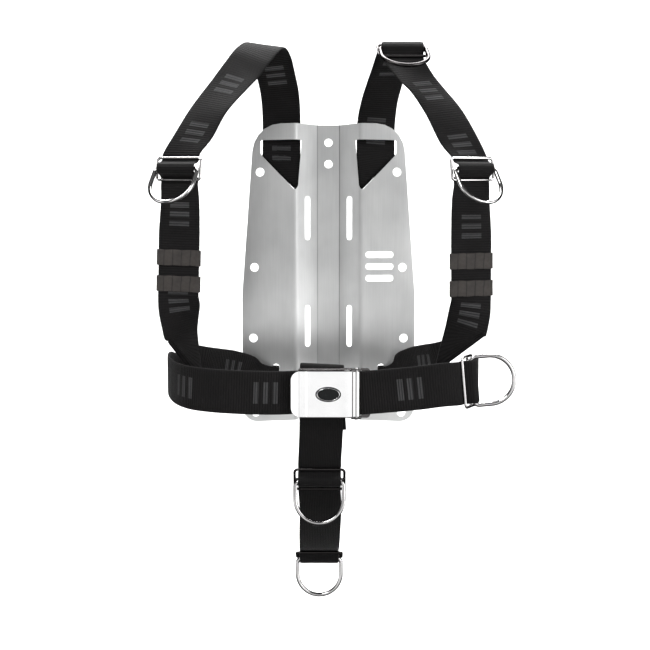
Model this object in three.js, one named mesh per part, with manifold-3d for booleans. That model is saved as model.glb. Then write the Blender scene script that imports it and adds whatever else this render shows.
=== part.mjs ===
// A diver's steel backplate with its 50 mm webbing harness, in millimetres.
// X points to the wearer's left, Y to the rear (the tank side), Z up.
// The origin is on the rear face of the plate's centre channel, midway between the tank bolts.
// Names say left for -X and right for +X, as someone facing the wearer sees them.
import * as THREE from 'three';
import { mergeVertices } from 'three/addons/utils/BufferGeometryUtils.js';
import Module from 'manifold-3d';

const wasm = await Module();
wasm.setup();

// ---- driving dimensions -------------------------------------------------------------------
const WEB = { width: 50, thick: 2.4 };
const GAP = 0.3;
const PLATE = {
  thick: 3,
  top: 190.5,
  bottom: -199,
  lowerCorner: -204,
  shoulderHalf: 97.5,
  halfWidth: 114.5,
  channelHalf: 14.8,
  ridgeX: 43,
  ridgeY: -23.5,
  wingSlope: 0.176,
};
const BOLT = { height: 139.7, spareHeight: 167.8, hole: 11 };
const GROMMET_HOLE = 11.5;
const CAM_BAND_SLOT = { x: 27.7, width: 7, upper: [68, 58], lower: [-75, 56] };
const ACCESSORY_SLOT = { x: 67.2, width: 37.5, height: 8.6, levels: [19.8, 4.2, -11.2] };
const WAIST_SLOT = { inner: 69.5, outer: 92, z: -153, width: 9, height: 57 };
const CROTCH_SLOT = { z: -186, width: 55, height: 8 };
const SLIDE = { width: 61, length: 29, wire: 3.2, corner: 4 };
const RING = { width: 61, depth: 53, wire: 5, corner: 6 };
const SLIDE_LIFT = WEB.thick / 2 + GAP + SLIDE.wire / 2;
const RING_LIFT = SLIDE_LIFT + SLIDE.wire / 2 + GAP + RING.wire / 2;
const BAND = { height: 19, wall: 1.5 };
const BUCKLE = {
  base: { left: -36, right: 47, bottom: -166, top: -109, front: -202.6, thick: 2 },
  cover: { left: -43, right: 34, bottom: -163.6, top: -111.4, front: -214, thick: 1.6 },
  pin: { x: 31, y: -209.4, radius: 2, overhang: 1.5 },
  lug: { left: 25, right: 36, thick: 1.8, front: -213 },
  cam: { radius: 3.8, endGap: 0.6 },
  window: { height: 52, corner: 1.5, belt: [16.7, 23.7], cam: [25.5, 37.5] },
  badge: { x: -1, z: -137.5, halfWidth: 14.5, halfHeight: 8.5, thick: 0.7 },
};

// ---- materials ----------------------------------------------------------------------------
const steel = new THREE.MeshStandardMaterial({ color: 0xb9bab9, roughness: 0.35, metalness: 1 });
const chrome = new THREE.MeshStandardMaterial({ color: 0xe8e8e8, roughness: 0.12, metalness: 1 });
const webbing = new THREE.MeshStandardMaterial({ color: 0x1d1b1c, roughness: 0.8, metalness: 0 });
const rubber = new THREE.MeshStandardMaterial({ color: 0x524c49, roughness: 0.7, metalness: 0 });
const enamel = new THREE.MeshStandardMaterial({ color: 0x1e2222, roughness: 0.3, metalness: 0.2 });

const harness = new THREE.Group();

function add(name, geometry, material) {
  const mesh = new THREE.Mesh(geometry, material);
  mesh.name = name;
  harness.add(mesh);
}

const vec = (x, y, z) => new THREE.Vector3(x, y, z);

// ---- closed meshes and booleans -----------------------------------------------------------
function signedVolume(geometry) {
  const p = geometry.getAttribute('position');
  const index = geometry.getIndex();
  const corner = (i) => new THREE.Vector3().fromBufferAttribute(p, index.getX(i));
  let volume = 0;
  for (let i = 0; i < index.count; i += 3) {
    volume += corner(i).dot(corner(i + 1).cross(corner(i + 2))) / 6;
  }
  return volume;
}

// Joins rings of points into one closed mesh; a closed loft bites its own tail.
function loft(rings, closed = false) {
  const sides = rings[0].length;
  const index = [];
  const steps = closed ? rings.length : rings.length - 1;
  for (let i = 0; i < steps; i += 1) {
    const a = i * sides;
    const b = ((i + 1) % rings.length) * sides;
    for (let j = 0; j < sides; j += 1) {
      const k = (j + 1) % sides;
      index.push(a + j, a + k, b + k, a + j, b + k, b + j);
    }
  }
  const end = (rings.length - 1) * sides;
  for (let j = 1; !closed && j < sides - 1; j += 1) {
    index.push(0, j + 1, j, end, end + j, end + j + 1);
  }
  const geometry = new THREE.BufferGeometry();
  const points = rings.flat().flatMap((p) => [p.x, p.y, p.z]);
  geometry.setAttribute('position', new THREE.Float32BufferAttribute(points, 3));
  geometry.setIndex(index);
  if (signedVolume(geometry) < 0) geometry.setIndex(index.reverse());
  return geometry;
}

function toSolid(geometry) {
  const bare = geometry.clone();
  bare.deleteAttribute('normal');
  bare.deleteAttribute('uv');
  const merged = mergeVertices(bare, 1e-4);
  const mesh = new wasm.Mesh({
    numProp: 3,
    vertProperties: new Float32Array(merged.getAttribute('position').array),
    triVerts: new Uint32Array(merged.getIndex().array),
  });
  return new wasm.Manifold(mesh);
}

function toGeometry(solid) {
  const mesh = solid.getMesh();
  const geometry = new THREE.BufferGeometry();
  geometry.setAttribute('position', new THREE.BufferAttribute(mesh.vertProperties, 3));
  geometry.setIndex(new THREE.BufferAttribute(mesh.triVerts, 1));
  return geometry;
}

// A polygon whose corners [x, y, radius] are rounded by arcs.
function roundedOutline(corners, steps = 5) {
  const points = [];
  corners.forEach(([x, y, radius], i) => {
    const at = new THREE.Vector2(x, y);
    const before = corners[(i + corners.length - 1) % corners.length];
    const after = corners[(i + 1) % corners.length];
    const inward = new THREE.Vector2(before[0] - x, before[1] - y).normalize();
    const outward = new THREE.Vector2(after[0] - x, after[1] - y).normalize();
    const half = Math.acos(THREE.MathUtils.clamp(inward.dot(outward), -1, 1)) / 2;
    if (!radius || half > 1.56) {
      points.push(at);
      return;
    }
    const middle = inward.clone().add(outward).normalize();
    const centre = at.clone().addScaledVector(middle, radius / Math.sin(half));
    const start = at.clone().addScaledVector(inward, radius / Math.tan(half)).sub(centre);
    const turn = Math.PI - 2 * half;
    const sense = inward.cross(outward) > 0 ? -1 : 1;
    for (let k = 0; k <= steps; k += 1) {
      const angle = (sense * turn * k) / steps;
      points.push(start.clone().rotateAround(new THREE.Vector2(), angle).add(centre));
    }
  });
  return points;
}

function circle(x, y, diameter, steps = 16) {
  const path = new THREE.Path();
  path.absarc(x, y, diameter / 2, 0, 2 * Math.PI, false);
  return path.getPoints(steps).slice(0, -1);
}

function roundedBox(x0, x1, y0, y1, r, steps = 3) {
  return roundedOutline([[x0, y0, r], [x1, y0, r], [x1, y1, r], [x0, y1, r]], steps);
}

function slot(x, y, width, height) {
  const r = Math.min(width, height) / 2 - 0.01;
  return roundedBox(x - width / 2, x + width / 2, y - height / 2, y + height / 2, r);
}

// Extrudes an outline with holes from one level to another along +Z.
function prism(outline, from, to, holes = []) {
  const shape = new THREE.Shape(outline);
  shape.holes = holes.map((points) => new THREE.Path(points));
  const geometry = new THREE.ExtrudeGeometry(shape, { depth: to - from, bevelEnabled: false });
  geometry.translate(0, 0, from);
  return geometry;
}

// The same, standing up: the outline lies in XZ and the depth runs along Y.
function upright(outline, front, rear, holes = []) {
  const geometry = prism(outline, -rear, -front, holes);
  geometry.rotateX(Math.PI / 2);
  return geometry;
}

// ---- wire: a round bar bent along a flat path ---------------------------------------------
// frame: origin o, across a, along t, normal n; the path is given as [across, along] pairs.
function frameAt(origin, across, along) {
  const t = along.clone().normalize();
  const a = across.clone().addScaledVector(t, -across.dot(t)).normalize();
  return { o: origin, a, t, n: new THREE.Vector3().crossVectors(t, a).normalize() };
}

function place(frame, across, along, out) {
  return frame.o.clone()
    .addScaledVector(frame.a, across)
    .addScaledVector(frame.t, along)
    .addScaledVector(frame.n, out);
}

function bentWire(frame, path, diameter, out, sides = 8) {
  const rings = path.map((p, i) => {
    const before = path[(i + path.length - 1) % path.length];
    const after = path[(i + 1) % path.length];
    const inward = p.clone().sub(before).normalize();
    const outward = after.clone().sub(p).normalize();
    const side = inward.add(outward).normalize();
    const normal = new THREE.Vector2(side.y, -side.x);
    return Array.from({ length: sides }, (_, k) => {
      const angle = (2 * Math.PI * (k + 0.5)) / sides;
      const reach = (diameter / 2) * Math.cos(angle);
      const lift = (diameter / 2) * Math.sin(angle);
      return place(frame, p.x + normal.x * reach, p.y + normal.y * reach, out + lift);
    });
  });
  return loft(rings, true);
}

// A D-ring: a straight bar on the hinge line, two legs and a half circle.
function dRing(frame, out) {
  const half = (RING.width - RING.wire) / 2;
  const reach = RING.depth - RING.wire;
  const path = [];
  const arc = (x, y, radius, from, to, steps) => {
    for (let k = 0; k <= steps; k += 1) {
      const angle = THREE.MathUtils.lerp(from, to, k / steps);
      path.push(new THREE.Vector2(x + radius * Math.cos(angle), y + radius * Math.sin(angle)));
    }
  };
  arc(half - RING.corner, RING.corner, RING.corner, -Math.PI / 2, 0, 3);
  arc(0, reach - half, half, 0, Math.PI, 12);
  arc(RING.corner - half, RING.corner, RING.corner, -Math.PI, -Math.PI / 2, 3);
  return bentWire(frame, path, RING.wire, out);
}

// A three-bar slide: a rounded rectangle of wire with a bar across its middle.
function slide(frame) {
  const w = (SLIDE.width - SLIDE.wire) / 2;
  const l = (SLIDE.length - SLIDE.wire) / 2;
  const loop = toSolid(
    bentWire(frame, roundedBox(-w, w, -l, l, SLIDE.corner), SLIDE.wire, SLIDE_LIFT));
  const r = SLIDE.wire / 2 - 0.05;
  const bar = [-w, w].map((across) => Array.from({ length: 8 }, (_, k) => {
    const angle = (Math.PI * (k + 0.5)) / 4;
    return place(frame, across, r * Math.cos(angle), SLIDE_LIFT + r * Math.sin(angle));
  }));
  return toGeometry(loop.add(toSolid(loft(bar))));
}

// ---- webbing ------------------------------------------------------------------------------
// A strap is a list of stations along its middle. "at" gives the middle and the direction
// across; "slanted" keeps that direction exactly as given, and "folded" gives half of the
// crease line instead, where the strap turns over a crease.
const at = (x, y, z, ax, ay, az) => ({ c: vec(x, y, z), across: vec(ax, ay, az) });
const folded = (x, y, z, ex, ey, ez) => ({ c: vec(x, y, z), edge: vec(ex, ey, ez) });
const slanted = (x, y, z, ax, ay, az) => ({
  c: vec(x, y, z), edge: vec(ax, ay, az).setLength(WEB.width / 2),
});

function halfEdges(stations, width) {
  return stations.map((s, i) => {
    if (s.edge) return s.edge.clone();
    const before = stations[Math.max(i - 1, 0)].c;
    const after = stations[Math.min(i + 1, stations.length - 1)].c;
    const along = after.clone().sub(before).normalize();
    const across = s.across.clone().addScaledVector(along, -s.across.dot(along));
    return across.normalize().multiplyScalar(width / 2);
  });
}

function strap(stations, steps = 3, width = WEB.width, thick = WEB.thick) {
  const edges = halfEdges(stations, width);
  const side = (sign) => new THREE.CatmullRomCurve3(
    stations.map((s, i) => s.c.clone().addScaledVector(edges[i], sign)), false, 'centripetal');
  const left = side(-1);
  const right = side(1);
  const last = (stations.length - 1) * steps;
  const samples = Array.from({ length: last + 1 }, (_, k) => {
    const l = left.getPoint(k / last);
    const r = right.getPoint(k / last);
    return { l, r, c: l.clone().add(r).multiplyScalar(0.5) };
  });
  return loft(samples.map(({ l, r }, i) => {
    const before = samples[Math.max(i - 1, 0)].c;
    const after = samples[Math.min(i + 1, last)].c;
    const out = r.clone().sub(l).cross(after.clone().sub(before)).setLength(thick / 2);
    return [l.clone().sub(out), r.clone().sub(out), r.clone().add(out), l.clone().add(out)];
  }));
}

// Where a strap passes a slide it runs behind the outer bars and over the ring's straight bar.
// Each pair is a distance along the strap and its height out from the strap's own line.
const HUMP = [
  [-17, -0.2], [-13, -0.4], [-9.2, 1.6], [-6.4, 6.6], [-4.6, 11],
  [0, RING_LIFT + 5.1],
  [4.6, 11], [6.4, 6.6], [9.2, 1.6], [13, -0.4], [17, -0.2],
];
const overSlide = (frame) => HUMP.map(([along, out]) => ({
  c: place(frame, 0, along, out), edge: frame.a.clone().setLength(WEB.width / 2),
}));

// The six slides: where each sits, which way it lies across and along its strap, and how many
// degrees its ring leans out from the strap.
const fitting = (origin, across, along, lean) => ({
  frame: frameAt(vec(...origin), vec(...across), vec(...along)), lean,
});
const hardware = {
  left_shoulder: fitting([-175.5, -144.5, 120], [0.93, -0.36, -0.04], [-0.06, -0.06, -1], 28),
  right_shoulder: fitting([168, -142, 120], [0.9, 0.42, 0.04], [0.06, -0.05, -1], 28),
  right_top: fitting([88, -110, 262], [0.97, 0.14, 0.06], [0.08, -0.72, -0.62], 4),
  hip: fitting([158.5, -188, -126], [-0.09, 0, 1], [0.57, 0.82, 0.05], 55),
  front_crotch: fitting([-11, -183, -240], [1, 0, 0], [0, 0.3, -0.95], 28),
  rear_crotch: fitting([-12, -72, -364], [1, 0, 0], [0, 0.86, -0.5], 60),
};

function leaning(frame, degrees) {
  const along = frame.t.clone().applyAxisAngle(frame.a, -THREE.MathUtils.degToRad(degrees));
  return frameAt(place(frame, 0, 0, RING_LIFT), frame.a, along);
}

for (const [name, { frame, lean }] of Object.entries(hardware)) {
  add(`${name}_slide`, slide(frame), chrome);
  add(`${name}_d_ring`, dRing(leaning(frame, lean), 0), chrome);
}

// ---- shoulder straps ----------------------------------------------------------------------
const leftShoulder = [
  folded(-62, -13.65, 126.5, 25, -1.35, -24.5),
  at(-61.8, -13.65, 158, 1, -0.054, 0),
  at(-61.6, -13.8, 196, 1, -0.054, 0),
  at(-63, -26, 226, 0.99, -0.09, 0.11),
  at(-67, -45, 247, 0.96, -0.2, 0.12),
  at(-72, -68, 266, 0.95, -0.28, 0.09),
  slanted(-78, -91, 275, 0.93, -0.3, -0.19),
  slanted(-90.5, -104, 262, 0.86, -0.33, -0.39),
  slanted(-105, -112, 241.5, 0.88, -0.3, -0.37),
  slanted(-119, -119, 223, 0.9, -0.35, -0.27),
  slanted(-142.5, -131, 191.5, 0.89, -0.41, -0.19),
  slanted(-160, -139, 160, 0.92, -0.34, -0.17),
  ...overSlide(hardware.left_shoulder.frame),
  at(-176, -144.5, 84, 0.95, -0.3, -0.01),
  at(-177.6, -142.4, 46, 0.99, -0.13, 0),
  at(-178.5, -141.96, 16, 0.99, -0.13, 0),
  at(-179.76, -141.34, -26, 0.99, -0.13, 0),
  at(-179.85, -141.3, -29, 0.99, -0.13, 0),
  at(-179.5, -136, -44, 0.95, 0.3, 0),
  at(-179.5, -129, -62, 0.8, 0.6, -0.03),
  at(-178.5, -124.5, -78, 0.68, 0.73, -0.05),
  folded(-173.5, -122, -108, 14.5, 20.4, -25),
  folded(-177.3, -121.9, -110.1, 14.5, 20.4, -25),
  folded(-178.3, -118.5, -108, 14.5, 20.4, -25),
  at(-156, -99, -119, 0, 0, -1),
  at(-140, -79, -123.5, 0, 0, -1),
  at(-122, -55, -129, 0, 0, -1),
  at(-104, -38.5, -137.5, 0, 0, -1),
  slanted(-88, -29.5, -148, 0, 0, -1),
  slanted(-79, -24.6, -152, 0, 0, -1),
  slanted(-73.8, -21.7, -153, 0, 0, -1),
  at(-69.5, -18.9, -153, 0, 0, -1),
  at(-65.4, -15.9, -153, 0, 0, -1),
  at(-62, -11.5, -153, 0, 0, -1),
];
const rightShoulder = [
  folded(62, -13.65, 126.5, 25, 1.35, 24.5),
  at(61.8, -13.65, 158, 1, 0.054, 0),
  at(62.5, -13.8, 192, 1, 0.054, 0),
  at(66, -26, 217, 0.98, 0.14, 0.18),
  at(70.6, -42, 234, 0.97, 0.17, 0.18),
  at(77, -64, 253, 0.96, 0.22, 0.17),
  at(82.5, -84, 267.5, 0.96, 0.22, 0.12),
  ...overSlide(hardware.right_top.frame),
  slanted(104, -129, 229, 0.89, 0.42, 0.16),
  slanted(117, -131, 214.5, 0.86, 0.49, 0.15),
  slanted(136, -134.5, 188.5, 0.91, 0.38, 0.15),
  slanted(155.5, -138.5, 152, 0.95, 0.28, 0.12),
  ...overSlide(hardware.right_shoulder.frame).slice(1),
  at(168, -143.5, 84, 0.94, 0.33, 0.02),
  at(169, -142.5, 45, 0.98, 0.18, 0),
  at(169.48, -141.54, 12, 0.98, 0.18, 0),
  at(170.1, -140.3, -31, 0.98, 0.18, 0),
  at(170.15, -140.2, -34, 0.98, 0.18, 0),
  at(168.8, -137.5, -50, 0.99, -0.08, 0),
  at(164.6, -134, -72, 0.95, -0.32, 0.03),
  folded(158.5, -130, -95.6, 27, -13, 23),
  folded(161.3, -128.3, -98.2, 27, -13, 23),
  folded(161.3, -124.7, -95.6, 27, -13, 23),
  at(136, -106, -113, 0, 0, 1),
  at(122, -84, -118, 0, 0, 1),
  at(108, -59, -124, 0, 0, 1),
  at(96, -41, -133, 0, 0, 1),
  slanted(85, -29.5, -146, 0, 0, 1),
  slanted(78, -24.2, -152, 0, 0, 1),
  slanted(73.8, -21.7, -153, 0, 0, 1),
  at(69.5, -18.9, -153, 0, 0, 1),
  at(65.4, -15.9, -153, 0, 0, 1),
  at(62, -11.5, -153, 0, 0, 1),
];
add('left_shoulder_webbing', strap(leftShoulder), webbing);
add('right_shoulder_webbing', strap(rightShoulder), webbing);

// ---- neck run behind the plate, with the hole for the top tank bolt ------------------------
const neckHalf = [
  folded(-62, -10.6, 126.5, -25, 1.35, 24.5),
  folded(-50, -11.2, 126.5, -12, 0.65, 24.5),
  at(-37.5, -11.5, 126.5, 0, 0, 1),
  at(-32, -9, 126.5, 0, 0, 1),
  at(-24, -3, 126.5, 0, 0, 1),
  at(-18, 0.9, 126.5, 0, 0, 1),
  at(-11, 2.4, 126.5, 0, 0, 1),
];
const neck = [
  ...neckHalf,
  at(0, 2.4, 126.5, 0, 0, 1),
  ...neckHalf.map((s) => ({
    c: s.c.clone().multiply(vec(-1, 1, 1)),
    edge: (s.edge ?? vec(0, 0, WEB.width / 2)).clone().multiply(vec(-1, 1, 1)),
  })).reverse(),
];
const boltPassage = toSolid(upright(circle(0, BOLT.height, BOLT.hole + 1, 12), -5, 8));
add('neck_webbing', toGeometry(toSolid(strap(neck)).subtract(boltPassage)), webbing);

// ---- waist belt ---------------------------------------------------------------------------
const leftWaist = [
  at(-67, -9.5, -153, 0, 0, -1),
  at(-74, -9.8, -153, 0, 0, -1),
  at(-84, -10.9, -153, 0, 0, -1),
  at(-88.5, -12.4, -153, 0, 0, -1),
  at(-92.5, -15.2, -153, 0, 0, -1),
  at(-97, -18.3, -153, 0, 0, -1),
  at(-104, -21.8, -153, 0, 0, -1),
  at(-125, -28, -151.5, 0, 0, -1),
  at(-158, -37, -149.5, 0, 0, -1),
  at(-181, -45, -144, 0, 0, -1),
  at(-195, -56, -134, 0, 0, -1),
  at(-200, -75, -128, 0, 0, -1),
  at(-198.5, -105, -127.5, 0, 0, -1),
  at(-190, -142, -129, 0, 0, -1),
  at(-176, -175, -131, 0, 0, -1),
  at(-157, -195, -133, 0, 0, -1),
  at(-130, -206, -134.5, 0, 0, -1),
  at(-95, -209, -136, 0, 0, -1),
  at(-64, -205.5, -137, 0, 0, -1),
  at(-50, -200.6, -137.5, 0, 0, -1),
  at(-41, -197, -137.5, 0, 0, -1),
  at(-35.5, -196, -137.5, 0, 0, -1),
  at(-30, -196, -137.5, 0, 0, -1),
  at(-5, -196, -137.5, 0, 0, -1),
  at(11, -196, -137.5, 0, 0, -1),
  at(15.5, -196, -137.5, 0, 0, -1),
  at(18.6, -197.4, -137.5, 0, 0, -1),
  at(19.8, -200.4, -137.5, 0, 0, -1),
  at(18.4, -203.4, -137.5, 0, 0, -1),
  at(14, -204.4, -137.5, 0, 0, -1),
  at(9, -204.4, -137.5, 0, 0, -1),
  at(-18, -204.4, -137.5, 0, 0, -1),
];
const rightWaist = [
  at(67, -9.5, -153, 0, 0, 1),
  at(74, -9.8, -153, 0, 0, 1),
  at(84, -10.9, -153, 0, 0, 1),
  at(88.5, -12.4, -153, 0, 0, 1),
  at(92.5, -15.2, -153, 0, 0, 1),
  at(97, -18.3, -153, 0, 0, 1),
  at(104, -21.8, -153, 0, 0, 1),
  at(125, -28, -151.5, 0, 0, 1),
  at(158, -36, -149.5, 0, 0, 1),
  at(180, -46, -145, 0, 0, 1),
  at(187.5, -66, -138.5, 0, 0, 1),
  at(185.5, -98, -133, 0, 0, 1),
  at(179.5, -132, -130, 0, 0, 1),
  at(173, -159, -127.5, 0, 0, 1),
  ...overSlide(hardware.hip.frame).reverse(),
  at(128, -208.5, -127.5, -0.1, 0, 1),
  at(100, -209, -131, -0.12, 0, 1),
  at(72, -206.5, -134, -0.1, 0, 1),
  at(52, -204.4, -136, -0.06, 0, 1),
  at(38, -204.2, -137, 0, 0, 1),
  at(30, -204.3, -137.5, 0, 0, 1),
  at(25.5, -205.7, -137.5, 0, 0, 1),
  at(20.5, -207.3, -137.5, 0, 0, 1),
  at(10, -207.5, -137.5, 0, 0, 1),
  at(-24, -207.5, -137.5, 0, 0, 1),
];
add('left_waist_webbing', strap(leftWaist), webbing);
add('right_waist_webbing', strap(rightWaist), webbing);

// ---- crotch strap -------------------------------------------------------------------------
const crotch = [
  at(-5, -191.8, -183, 1, 0, 0),
  at(-6, -193, -165, 1, 0, 0),
  at(-7, -193, -118, 1, 0, 0),
  slanted(-7.6, -193.6, -107.8, 1, 0, -0.05),
  slanted(-7.9, -196, -105.6, 1, 0, -0.05),
  slanted(-8.2, -198.4, -107.8, 1, 0, -0.05),
  at(-8.4, -199, -118, 1, 0, 0),
  at(-8.5, -199, -130, 1, 0, 0),
  at(-8.7, -199, -152, 1, 0, 0),
  at(-8.8, -199, -165, 1, 0, 0),
  at(-9.4, -195.8, -190, 1, 0, 0),
  ...overSlide(hardware.front_crotch.frame),
  at(-10, -165, -281, 1, 0, 0),
  at(-11, -135, -321, 1, 0, 0),
  at(-11.6, -108, -345, 1, 0, 0),
  ...overSlide(hardware.rear_crotch.frame),
  at(-12, -42, -374.5, 1, 0, 0),
  at(-11.8, -26, -368, 1, 0, 0),
  at(-11, -12, -345, 1, 0, 0),
  at(-9, -3, -310, 1, 0, 0),
  at(-7.5, 2, -265, 1, 0, 0),
  at(-6, 3.6, -232, 1, 0, 0),
  at(-4, 3.4, -205, 1, 0, 0),
  at(-1.6, 2.6, -192, 1, 0, 0),
  at(-0.6, 0, -186.4, 1, 0, 0),
  at(-0.6, -10, -186.2, 1, 0, 0),
  at(-1.2, -15, -190, 1, 0, 0),
  at(-4, -15.6, -205, 1, 0, 0),
  at(-5.5, -6, -222, 1, 0, 0),
  at(-6, 0, -240, 1, 0, 0),
];
add('crotch_strap', strap(crotch), webbing);

// ---- backplate: one bent sheet with its outline and holes cut straight through --------------
function sheetProfile() {
  const { halfWidth, ridgeX, ridgeY, channelHalf, thick, wingSlope } = PLATE;
  const ridgeRadius = 8;
  const channelRadius = 3;
  const reach = halfWidth + 10;
  const wingY = ridgeY + wingSlope * (reach - ridgeX);
  const floorY = -thick / 2;
  const bends = [
    [-reach, wingY, 0], [-ridgeX, ridgeY, ridgeRadius], [-channelHalf, floorY, channelRadius],
    [channelHalf, floorY, channelRadius], [ridgeX, ridgeY, ridgeRadius], [reach, wingY, 0],
  ];
  const line = roundedOutline(bends, 4);
  const offset = (sign) => line.map((p, i) => {
    const before = line[Math.max(i - 1, 0)];
    const after = line[Math.min(i + 1, line.length - 1)];
    const inward = p.clone().sub(before).normalize();
    const outward = after.clone().sub(p).normalize();
    const along = inward.clone().add(outward).normalize();
    const mitre = Math.max(along.dot(inward), along.dot(outward));
    const shift = (sign * thick) / (2 * mitre);
    return new THREE.Vector2(p.x - along.y * shift, p.y + along.x * shift);
  });
  return [...offset(-1), ...offset(1).reverse()];
}

const mirrored = (points) => points.map((p) => new THREE.Vector2(-p.x, p.y)).reverse();

function plateOutline() {
  const { bottom, top, lowerCorner, halfWidth, shoulderHalf } = PLATE;
  const right = roundedOutline([
    [0, bottom, 0], [40, bottom, 0], [halfWidth, lowerCorner, 18],
    [halfWidth, -33, 90], [shoulderHalf, top, 38], [0, top, 0],
  ]);
  return [...right, ...mirrored(right).filter((p) => p.x !== 0)];
}

const shoulderWindow = roundedOutline([
  [35, 169.5, 1.5], [89.5, 169.5, 2.5], [89.5, 151.5, 9], [43.5, 103.5, 2.5], [39.8, 110, 2.5],
], 3);

const grommetHoles = [[90, 128], [98, 3], [100, -91], [97.5, -191]];
const plateHoles = [
  ...[BOLT.height, BOLT.spareHeight, -BOLT.height, -BOLT.spareHeight].map((z) => circle(0, z, BOLT.hole)),
  shoulderWindow,
  mirrored(shoulderWindow),
  ...grommetHoles.flatMap(([x, z]) => [circle(x, z, GROMMET_HOLE), circle(-x, z, GROMMET_HOLE)]),
  ...[CAM_BAND_SLOT.upper, CAM_BAND_SLOT.lower].flatMap(([z, height]) => [
    slot(-CAM_BAND_SLOT.x, z, CAM_BAND_SLOT.width, height),
    slot(CAM_BAND_SLOT.x, z, CAM_BAND_SLOT.width, height),
  ]),
  ...ACCESSORY_SLOT.levels.map((z) => (
    slot(ACCESSORY_SLOT.x, z, ACCESSORY_SLOT.width, ACCESSORY_SLOT.height))),
  ...[WAIST_SLOT.inner, WAIST_SLOT.outer].flatMap((x) => [
    slot(-x, WAIST_SLOT.z, WAIST_SLOT.width, WAIST_SLOT.height),
    slot(x, WAIST_SLOT.z, WAIST_SLOT.width, WAIST_SLOT.height),
  ]),
  slot(0, CROTCH_SLOT.z, CROTCH_SLOT.width, CROTCH_SLOT.height),
];

const sheet = toSolid(prism(sheetProfile(), PLATE.lowerCorner - 10, PLATE.top + 10));
const cutter = toSolid(upright(plateOutline(), PLATE.ridgeY - 20, 10, plateHoles));
add('backplate', toGeometry(sheet.intersect(cutter)), steel);

// ---- retaining bands ----------------------------------------------------------------------
function band(frame) {
  const w = WEB.width / 2 + GAP;
  const t = WEB.thick / 2 + GAP;
  const ring = (grow, r) => roundedBox(-w - grow, w + grow, -t - grow, t + grow, r, 2);
  const geometry = prism(ring(BAND.wall, 1.6), -BAND.height / 2, BAND.height / 2, [ring(0, 0)]);
  geometry.applyMatrix4(new THREE.Matrix4().makeBasis(frame.a, frame.n, frame.t).setPosition(frame.o));
  return geometry;
}
const alongLeft = vec(-0.03, 0.0147, -1);
const alongRight = vec(0.0145, 0.029, -1);
const bandPlaces = {
  left_upper_band: frameAt(vec(-178.5, -141.96, 16), vec(0.99, -0.13, 0), alongLeft),
  left_lower_band: frameAt(vec(-179.43, -141.5, -15), vec(0.99, -0.13, 0), alongLeft),
  right_upper_band: frameAt(vec(169.48, -141.54, 12), vec(0.98, 0.18, 0), alongRight),
  right_lower_band: frameAt(vec(169.95, -140.6, -20.5), vec(0.98, 0.18, 0), alongRight),
};
for (const [name, frame] of Object.entries(bandPlaces)) add(name, band(frame), rubber);

// ---- buckle -------------------------------------------------------------------------------
function upAxisCylinder(x, y, radius, from, to) {
  return toSolid(prism(circle(x, y, radius * 2), from, to));
}

function lugSolid(from) {
  const { left, right, thick, front } = BUCKLE.lug;
  const outline = roundedBox(left, right, front, BUCKLE.base.front + 0.5, 0);
  return toSolid(prism(outline, from, from + thick));
}

function buckleBase() {
  const { left, right, bottom, top, front, thick } = BUCKLE.base;
  const { pin, window } = BUCKLE;
  const middle = (bottom + top) / 2;
  const openings = [window.belt, window.cam].map(([x0, x1]) => roundedBox(
    x0, x1, middle - window.height / 2, middle + window.height / 2, window.corner));
  const plate = toSolid(upright(roundedBox(left, right, bottom, top, 4), front, front + thick, openings));
  const bore = upAxisCylinder(pin.x, pin.y, pin.radius + GAP, bottom - 2, top + 2);
  return toGeometry(plate.add(lugSolid(bottom)).add(lugSolid(top - BUCKLE.lug.thick)).subtract(bore));
}

function buckleCover() {
  const { left, right, bottom, top, front, thick } = BUCKLE.cover;
  const { pin, cam } = BUCKLE;
  const outline = roundedOutline(
    [[left, bottom, 10], [right, bottom, 1], [right, top, 1], [left, top, 10]], 4);
  const lid = toSolid(upright(outline, front, front + thick));
  const roller = upAxisCylinder(pin.x, pin.y, cam.radius, bottom + cam.endGap, top - cam.endGap);
  const bore = upAxisCylinder(pin.x, pin.y, pin.radius + GAP, bottom - 2, top + 2);
  return toGeometry(lid.add(roller).subtract(bore));
}

function hingePin() {
  const { base, pin } = BUCKLE;
  return toGeometry(upAxisCylinder(
    pin.x, pin.y, pin.radius, base.bottom - pin.overhang, base.top + pin.overhang));
}

function badge() {
  const { x, z, halfWidth, halfHeight, thick } = BUCKLE.badge;
  const rim = new THREE.EllipseCurve(x, z, halfWidth, halfHeight).getPoints(28).slice(0, -1);
  const rear = BUCKLE.cover.front - GAP;
  return upright(rim, rear - thick, rear);
}

add('buckle_base', buckleBase(), chrome);
add('buckle_cover', buckleCover(), chrome);
add('buckle_hinge_pin', hingePin(), chrome);
add('buckle_badge', badge(), enamel);

export default harness;
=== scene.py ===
import math

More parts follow.
